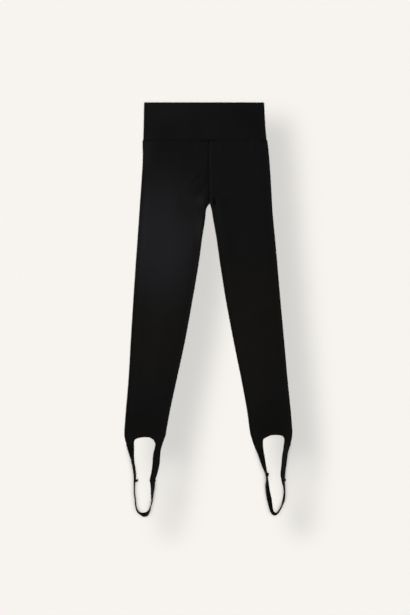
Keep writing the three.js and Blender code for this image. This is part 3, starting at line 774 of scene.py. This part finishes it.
# Painted light on the left of the waistband and painted shade on its right, with the waist seam's painted
# shade
BAND_PAINTED_LIGHT_AND_SHADE = [
    SIDE_PAINTED_LIGHT,
    (-110, 520, 120, 60, (0.0044, 0.0043, 0.0043)),
    (112, 500, 125, 120, (0.0021, 0.0021, 0.0021)),
    *WAIST_SEAM_SHADE,
]
band_jersey = jersey("waistband_jersey", roughness=0.78, nap=0.08, ovals=BAND_PAINTED_LIGHT_AND_SHADE)
band_shapes = {side: band_grid(side) for side in ("front", "back")}
for side, grid in band_shapes.items():
    cloth_piece("waistband_cloth_" + side, [grid], band_jersey, ends=True)
    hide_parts("waistband_" + side)


# Where a strap is sewn to a tail, the ends of the seam stick out beside it as a small stiff tab: layers of
# cloth trimmed together, with overlock threads wrapped over their edge. Each is given by its middle, its size
# before it leans, the degrees it leans and turns, and its layers.
SEAM_TABS = {
    "left_outer": ((-187, 982.2, 6.2), (8, 4, 9), 4, 12, 3),
    "left_inner": ((-144.6, 982.2, 4.6), (16.6, 4, 3.2), 20, 0, 3),
    "right_inner": ((153.4, 966.8, 6.6), (5.4, 8.4, 8), 8, -8, 4),
    "right_outer": ((197, 980.4, 7.4), (6, 4, 9), 32, 0, 3),
}
TAB_ROWS, TAB_COLUMNS = 15, 36
LAYER_SHRINK = (0, 0.35, 0.1, 0.45)  # how far each layer is trimmed short of the first
LAYER_FULL = 0.94  # of its share of the thickness
SQUARED = 0.42  # power that makes a sphere a block with round edges


def squared(x, power=SQUARED):
    """A number to a power, with its sign kept."""
    return np.sign(x) * np.abs(x) ** power


def rounded_block(size):
    """A block with round edges: the unit sphere with every sine and cosine of its two angles raised to a
    small power, stretched to the size."""
    rise = np.linspace(-np.pi / 2, np.pi / 2, TAB_ROWS)[:, None]
    around = np.linspace(0, 2 * np.pi, TAB_COLUMNS + 1)[None]
    x = squared(np.cos(rise)) * squared(np.cos(around))
    y = squared(np.cos(rise)) * squared(np.sin(around))
    z = squared(np.sin(rise)) + 0 * around
    return np.stack([x, y, z], -1) * np.array(size) / 2


def turned(points, axis, degrees):
    """Points turned about one of the axes."""
    c, s = np.cos(np.radians(degrees)), np.sin(np.radians(degrees))
    a, b = [(1, 2), (2, 0), (0, 1)][axis]
    made = points.copy()
    made[..., a] = c * points[..., a] - s * points[..., b]
    made[..., b] = s * points[..., a] + c * points[..., b]
    return made


def placed(points, name, moved=True):
    """Points or directions of a tab, leant and turned as it is. Points are also moved to where it is."""
    (x, down, z), _, lean, turn, _ = SEAM_TABS[name]
    return turned(turned(points, 1, -lean), 2, turn) + (np.array((x, to_y(down), z)) if moved else 0)


for name, (_, (long, thick, high), _, _, layers) in SEAM_TABS.items():
    each = thick / layers
    blocks = []
    for k in range(layers):
        block = rounded_block((long - LAYER_SHRINK[k], each * LAYER_FULL, high - LAYER_SHRINK[k]))
        blocks.append(placed(block + (0, (k + 0.5) * each - thick / 2, 0), name))
    tab = cloth_piece("seam_tab_" + name, blocks, strap_jersey)


# The seams are closed with black thread, each stitch a tube of its own. Short threads cross the waist,
# centre, side and inside leg seams, and two rows of straight stitches hold the edges of arches, tails and
# straps.
THREAD_TONES = ((0.003, 0.003, 0.0032), (0.0065, 0.0065, 0.0068))
PLY = (900.0, 2.0)  # scale and detail of the noise that roughens the thread
PLY_RELIEF, PLY_DEPTH = 0.5, 0.1  # strength and depth of its relief
THREAD = 0.42  # thickness
THREAD_RISE, THREAD_SUNK = 0.75, 0.35  # how high a stitch rises and how deep its ends lie, in thicknesses
THREAD_END = 0.55  # thickness at the ends of a stitch, against its middle
THREAD_LOWEST = 0.02  # above the floor
THREAD_RINGS, THREAD_SIDES = 5, 6
STITCH = 2.9
STITCH_PITCH = 3.4
CROSSING = 2.4
CROSSING_PITCH = 2.3
CROSSING_SLANT = 0.35
NEEDLES = (2.6, 6.6)  # the two rows, in from the cut edge
WRAP_PITCH = 1.1  # of the threads round a seam tab
WRAP_REACH = 2.4  # how far they reach in on its faces
WRAP_ACROSS = 1.9  # length of those over its edge, in half thicknesses
WRAP_SLANTS = (0.2, 0.5)  # over the edge and on the faces
RIM_STEPS = 180
SUNK = 0.2  # how far the threads of the inside leg seam sink into the fold
CENTRE_END, INSEAM_FROM = CROTCH - 3, TUCK_TO - 6  # down, where one's threads end and the other's start
CENTRE_FREE, SIDE_FREE = 3, 2  # columns without threads beside the centre seam and a side fold
SIDE_INSET, SIDE_POINTS = 1.5, 40  # of the line of a side seam

thread, tree, shader = new_material("black_thread")
ply = noise(tree, node(tree, "TexCoord").outputs["Object"], *PLY)
inputs = [("Strength", PLY_RELIEF), ("Distance", PLY_DEPTH * MM), ("Height", ply)]
twist = node(tree, "Bump", inputs).outputs[0]
feed(shader, [("Base Color", blend(tree, ply, *THREAD_TONES)), ("Normal", twist)])
feed(shader, [("Roughness", 0.65), ("Specular IOR Level", 0.1)])


def spaced(line, up, pitch):
    """Points at a pitch along a line of points, with the line's direction and the outward direction there."""
    run = run_along(line, 0)
    at = np.arange(pitch / 2, run[-1], pitch)
    here, before, after, normal = (
        np.stack([np.interp(t, run, values[:, k]) for k in range(3)], -1)
        for t, values in ((at, line), (at - pitch / 4, line), (at + pitch / 4, line), (at, up))
    )
    return here, unit(after - before), unit(normal)


def stitches(name, runs):
    """Threads, each a short tube along its way. Its axis rises in half a sine wave above the cloth and goes
    down into it at both ends, where the tube narrows and closes."""
    middle, way, up = (np.concatenate([run[k] for run in runs]) for k in range(3))
    length = np.concatenate([np.full(len(run[0]), run[3]) for run in runs])
    s = np.linspace(0, 1, THREAD_RINGS)
    turn = np.arange(THREAD_SIDES) * 2 * np.pi / THREAD_SIDES
    side = np.cross(way, up)
    axis = middle[:, None] + way[:, None] * (length[:, None] * (s - 0.5))[..., None]
    axis += up[:, None] * (THREAD * (THREAD_RISE * np.sin(np.pi * s) - THREAD_SUNK))[None, :, None]
    radius = THREAD / 2 * (THREAD_END + (1 - THREAD_END) * np.sin(np.pi * s))
    ring = side[:, None] * np.cos(turn)[:, None] + up[:, None] * np.sin(turn)[:, None]
    tube = axis[:, :, None] + ring[:, None] * radius[:, None, None]
    points = np.concatenate([tube.reshape(len(middle), -1, 3), axis[:, [0, -1]]], axis=1)
    points[..., 2] = np.maximum(points[..., 2], THREAD_LOWEST)
    each = THREAD_RINGS * THREAD_SIDES + 2
    ids = np.arange(THREAD_RINGS * THREAD_SIDES).reshape(THREAD_RINGS, THREAD_SIDES)
    ids = np.append(ids, ids[:, :1], axis=1)
    caps = [(ids[0, 1:], ids[0, :-1], each - 2), (ids[-1, :-1], ids[-1, 1:], each - 1)]
    caps = np.concatenate([np.stack([a, b, np.full(THREAD_SIDES, c)], -1) for a, b, c in caps])
    shift = np.arange(len(middle))[:, None, None] * each
    walls, caps = (quads(ids) + shift).reshape(-1, 4), (caps + shift).reshape(-1, 3)
    mesh = bpy.data.meshes.new(name)
    mesh.from_pydata((points.reshape(-1, 3) * MM).tolist(), [], walls.tolist() + caps.tolist())
    face_outwards(mesh)
    mesh.materials.append(thread)
    mesh.shade_smooth()
    piece = add_object(name, mesh)
    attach(piece, "root")
    return piece


def straight(line, up):
    """Stitches laid end to end along a line: their middles, ways, outward directions and length."""
    return *spaced(line, up, STITCH_PITCH), STITCH


def crossing(line, up):
    """Threads that cross a seam, slanted a little as an overlock lays them."""
    middle, forward, normal = spaced(line, up, CROSSING_PITCH)
    return middle, unit(np.cross(normal, forward) + CROSSING_SLANT * forward), normal, CROSSING


def on_cloth(part, distance):
    """The line along a part's grid at a distance from its open edge, on the outer side of the cloth, and the
    outward direction there."""
    points, outward = part
    reach = run_along(points, 1)
    k = np.argmax(reach >= distance, axis=1)
    rows = np.arange(len(points))
    t = ((distance - reach[rows, k - 1]) / (reach[rows, k] - reach[rows, k - 1]))[:, None]
    middle = points[rows, k - 1] * (1 - t) + points[rows, k] * t
    return middle + outward[rows, k] * JERSEY / 2, outward[rows, k]


def round_arch(inner, outer, distance):
    """The same round a whole arch, from the end of one tail to the end of the other, square to the cut
    edge."""
    points, up = (np.concatenate([inner[k][::-1, 0], outer[k][1:, 0]]) for k in (0, 1))
    steps_in = [grid[:, 1] - grid[:, 0] for grid, _ in (inner, outer)]
    into_cloth = np.concatenate([steps_in[0][::-1], steps_in[1][1:]])
    square = np.cross(up, np.gradient(points, axis=0))
    square = unit(square * np.sign((square * into_cloth).sum()))
    return points + square * distance + up * JERSEY / 2, up


def wrapped(name):
    """Overlock threads of a tab: one after another over its trimmed edge, whose outline is that of the
    rounded block, and slanted ones on both its faces."""
    long, thick, high = np.array(SEAM_TABS[name][1]) / 2
    turn = np.linspace(0, 2 * np.pi, RIM_STEPS + 1)
    c, s = np.cos(turn), np.sin(turn)
    rim = np.stack([long * squared(c), 0 * c, high * squared(s)], -1)
    out = np.stack([squared(c, 2 - SQUARED) / long, 0 * c, squared(s, 2 - SQUARED) / high], -1)
    here, forward, normal = spaced(rim, out, WRAP_PITCH)
    across = np.tile((0.0, 1.0, 0.0), (len(here), 1))
    runs = [(here, across + WRAP_SLANTS[0] * forward, normal, WRAP_ACROSS * thick)]
    for face in (-1, 1):
        at = here - normal * WRAP_REACH / 2 + across * thick * face
        runs.append((at, normal + WRAP_SLANTS[1] * forward, across * face, WRAP_REACH))
    return [
        (placed(at, name), placed(unit(way), name, False), placed(up, name, False), length)
        for at, way, up, length in runs
    ]


def seam_line(points, level, columns):
    """A line through some points, moved out by half the wall to the outer side of the cloth: up where the
    level is 1, and down where it is -1."""
    up = np.zeros_like(points[columns])
    up[:, 2] = level
    return points[columns] + up * JERSEY / 2, up


front_columns = 2 * (FLAT_COLUMNS + PUFF_COLUMNS + ARC_COLUMNS) - 1
front_seam = slice(CENTRE_FREE, front_columns - ARC_COLUMNS - SIDE_FREE)
back_seam = slice(front_columns + ARC_COLUMNS + SIDE_FREE, -CENTRE_FREE)
above_crotch = to_y(leg_shapes["left"][:, 0, 1]) < CENTRE_END
seams = {}
for face, columns, column, level in (("front", front_seam, 0, 1), ("back", back_seam, -1, -1)):
    seams[face] = [crossing(*seam_line(grid[0], level, columns)) for grid in leg_shapes.values()]
    middle = (leg_shapes["left"][:, column] + leg_shapes["right"][:, column]) / 2
    seams[face].append(crossing(*seam_line(middle, level, above_crotch)))
band_down = np.linspace(SIDE_INSET, BAND_DEPTH - SIDE_INSET, SIDE_POINTS)
for column, outward in ((0, -1), (1, 1)):
    edge = along(BAND_EDGES, band_down)[:, column]
    line = np.stack([edge, to_y(band_down), 0 * edge + DOUBLED / 2 + BAND_FOLD], -1)
    seams["front"].append(crossing(line, np.tile((outward, 0.0, 0.0), (len(line), 1))))
waist_sewing = {face: stitches("waist_sewing_" + face, runs) for face, runs in seams.items()}

leg_sewing, strap_sewing = {}, {}
for side, inward in (("left", 1), ("right", -1)):
    grid = leg_shapes[side]
    below = to_y(grid[:, 0, 1]) > INSEAM_FROM
    line = (grid[below, 0] + grid[below, -1]) / 2
    up = np.tile((inward, 0.0, 0.0), (len(line), 1))
    (front, front_out), (back, back_out) = tails[side + " inner"]
    tail_line, tail_up = (front[:, -1] + back[:, -1]) / 2, unit(front_out[:, -1] + back_out[:, -1])
    folds = (line, up), (tail_line, tail_up)
    inseam = [crossing(points + out * (JERSEY / 2 - SUNK), out) for points, out in folds]
    faces = zip(tails[side + " inner"], tails[side + " outer"])
    edges = [straight(*round_arch(*face, needle)) for face in faces for needle in NEEDLES]
    leg_sewing[side] = stitches("leg_sewing_" + side, inseam + edges)
    wraps = [run for name in SEAM_TABS if name.startswith(side) for run in wrapped(name)]
    edges = [straight(*on_cloth(part, needle)) for part in strap_parts[side] for needle in NEEDLES]
    strap_sewing[side] = stitches("strap_sewing_" + side, edges + wraps)


# The floor is a wide sheet of warm white studio paper, a hair below the cloth. A broad soft shadow is painted
# into its colour to the lower right of the garment, and is worked out from the garment's outline.
FLOOR_HALF = 7000
FLOOR_BELOW = 0.2
PAPER = (0.932, 0.907, 0.871)
SHADE_CELL = 8
SHADE_REACH = (440, 680)  # half the width and length of the floor on which it can fall
SHADE_SHIFT = (65, -52)
SHADE_BLUR = 27
BLUR_REACH = 4 * SHADE_BLUR
SHADE_DEPTH = (0.305, 0.295, 0.287)  # how much of the paper's red, green and blue a full shade takes
TAIL_SHADE = 1.3  # the tails and the straps stand up on edge, and shade more than they cover
STRAP_SHADE = 1.6


def outline_shade(parts):
    """Points of the floor on a grid and the shade at each: the cells that the parts of the garment cover,
    each with its part's strength, moved by the shift and blurred along X and along Y by
    exp(-(away / blur)² / 2). Past its reach the floor goes on without shade."""
    lines = [np.arange(-reach, reach + 1, SHADE_CELL, dtype=float) for reach in SHADE_REACH]
    edges = [np.append(line - SHADE_CELL / 2, line[-1] + SHADE_CELL / 2) for line in lines]
    shade = 0
    for grids, strength in parts:
        shifted = np.concatenate([grid.reshape(-1, 3) for grid in grids])[:, :2] + SHADE_SHIFT
        cells = np.histogram2d(shifted[:, 0], shifted[:, 1], bins=edges)[0]
        shade = np.maximum(shade, strength * (cells > 0))
    away = np.arange(-BLUR_REACH, BLUR_REACH + 1, SHADE_CELL)
    blur = np.exp(-((away / SHADE_BLUR) ** 2) / 2)
    for axis in (0, 1):
        shade = np.apply_along_axis(np.convolve, axis, shade, blur / blur.sum(), "same")
    lines = [np.concatenate([[-FLOOR_HALF], line, [FLOOR_HALF]]) for line in lines]
    return *np.meshgrid(*lines, indexing="ij"), np.pad(shade, 1)


shading_parts = [
    ([*leg_shapes.values(), *band_shapes.values()], 1.0),
    ([half[0] for part in tails.values() for half in part], TAIL_SHADE),
    ([half[0] for part in strap_parts.values() for half in part], STRAP_SHADE),
]
x, y, shade = outline_shade(shading_parts)
points = np.stack([x, y, 0 * x - FLOOR_BELOW], -1).reshape(-1, 3) * MM
floor_mesh = bpy.data.meshes.new("floor")
floor_mesh.from_pydata(points.tolist(), [], quads(np.arange(x.size).reshape(x.shape).T).tolist())
floor_mesh.attributes.new("shade", "FLOAT", "POINT").data.foreach_set("value", shade.ravel())

paper, tree, shader = new_material("studio_paper")
shade_there = node(tree, "Attribute", attribute_name="shade").outputs["Fac"]
# The paper is darkened where the painted shadow falls
shaded = [c * (1 - depth) for c, depth in zip(PAPER, SHADE_DEPTH)]
paper_with_painted_shadow = blend(tree, shade_there, PAPER, shaded)
feed(shader, [("Base Color", paper_with_painted_shadow), ("Roughness", 0.95), ("Specular IOR Level", 0.0)])
floor_mesh.materials.append(paper)
floor = add_object("floor", floor_mesh)
off_floor = bpy.data.collections.new("kept off the lamp")
off_floor.objects.link(floor)
off_floor.collection_objects[0].light_linking.link_state = "EXCLUDE"
lamp.light_linking.receiver_collection = off_floor
